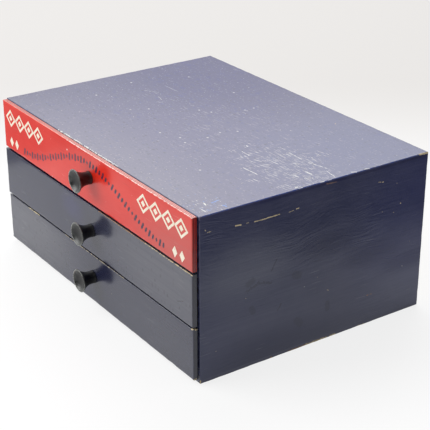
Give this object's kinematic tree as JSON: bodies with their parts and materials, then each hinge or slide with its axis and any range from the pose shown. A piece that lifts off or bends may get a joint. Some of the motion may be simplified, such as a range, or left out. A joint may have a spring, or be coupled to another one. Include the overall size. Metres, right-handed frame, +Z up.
{
  "type": "thread drawer cabinet",
  "caption": "Table-top box for embroidery thread: a painted wooden case with drawers that slide out, each divided into channels for reels and pulled by a turned knob.",
  "frame": {"origin": "centre of the case's underside, midway between its sides and between its front and back edges", "axes": "+X to the right as seen from the front, -Y towards the user and the way the drawers open, +Z up"},
  "size_m": [0.356, 0.276, 0.16],
  "materials": {
    "navy_paint": "navy oil paint, semi-gloss, scratched and chipped",
    "red_paint": "red gloss paint, lightly worn",
    "black_lacquer": "black lacquer on turned wood",
    "bare_wood": "planed, unfinished and darkened with age",
    "plywood": "sanded plywood",
    "steel": "dull with age"
  },
  "bodies": {
    "case": {"case_top": "navy_paint", "case_bottom": "navy_paint", "case_left_side": "navy_paint", "case_right_side": "navy_paint", "case_back": "navy_paint", "lower_left_runner": "bare_wood", "lower_right_runner": "bare_wood", "upper_left_runner": "bare_wood", "upper_right_runner": "bare_wood", "case_pins": "steel", "back_pins": "steel", "runner_pins": "steel"},
    "bottom_drawer": {"bottom_drawer_front_panel": "navy_paint", "bottom_drawer_box_front": "bare_wood", "bottom_drawer_box_back": "bare_wood", "bottom_drawer_box_left_side": "bare_wood", "bottom_drawer_box_right_side": "bare_wood", "bottom_drawer_box_floor": "plywood", "bottom_drawer_slat_1": "plywood", "bottom_drawer_slat_2": "plywood", "bottom_drawer_slat_3": "plywood", "bottom_drawer_slat_4": "plywood", "bottom_drawer_slat_5": "plywood", "bottom_drawer_slat_6": "plywood", "bottom_drawer_knob": "black_lacquer", "bottom_drawer_knob_screw": "steel", "bottom_drawer_floor_pins": "steel"},
    "middle_drawer": {"middle_drawer_front_panel": "navy_paint", "middle_drawer_box_front": "bare_wood", "middle_drawer_box_back": "bare_wood", "middle_drawer_box_left_side": "bare_wood", "middle_drawer_box_right_side": "bare_wood", "middle_drawer_box_floor": "plywood", "middle_drawer_slat_1": "plywood", "middle_drawer_slat_2": "plywood", "middle_drawer_slat_3": "plywood", "middle_drawer_slat_4": "plywood", "middle_drawer_slat_5": "plywood", "middle_drawer_slat_6": "plywood", "middle_drawer_knob": "black_lacquer", "middle_drawer_knob_screw": "steel", "middle_drawer_floor_pins": "steel"},
    "top_drawer": {"top_drawer_front_panel": "red_paint", "top_drawer_box_front": "bare_wood", "top_drawer_box_back": "bare_wood", "top_drawer_box_left_side": "bare_wood", "top_drawer_box_right_side": "bare_wood", "top_drawer_box_floor": "plywood", "top_drawer_slat_1": "plywood", "top_drawer_slat_2": "plywood", "top_drawer_slat_3": "plywood", "top_drawer_slat_4": "plywood", "top_drawer_slat_5": "plywood", "top_drawer_slat_6": "plywood", "top_drawer_knob": "black_lacquer", "top_drawer_knob_screw": "steel", "top_drawer_floor_pins": "steel"}
  },
  "joints": [
    {"name": "bottom_drawer_slide", "type": "slide", "parent": "case", "child": "bottom_drawer", "axis": [0, -1, 0], "range_m": [0, 0.2]},
    {"name": "middle_drawer_slide", "type": "slide", "parent": "case", "child": "middle_drawer", "axis": [0, -1, 0], "range_m": [0, 0.2]},
    {"name": "top_drawer_slide", "type": "slide", "parent": "case", "child": "top_drawer", "axis": [0, -1, 0], "range_m": [0, 0.2]}
  ]
}
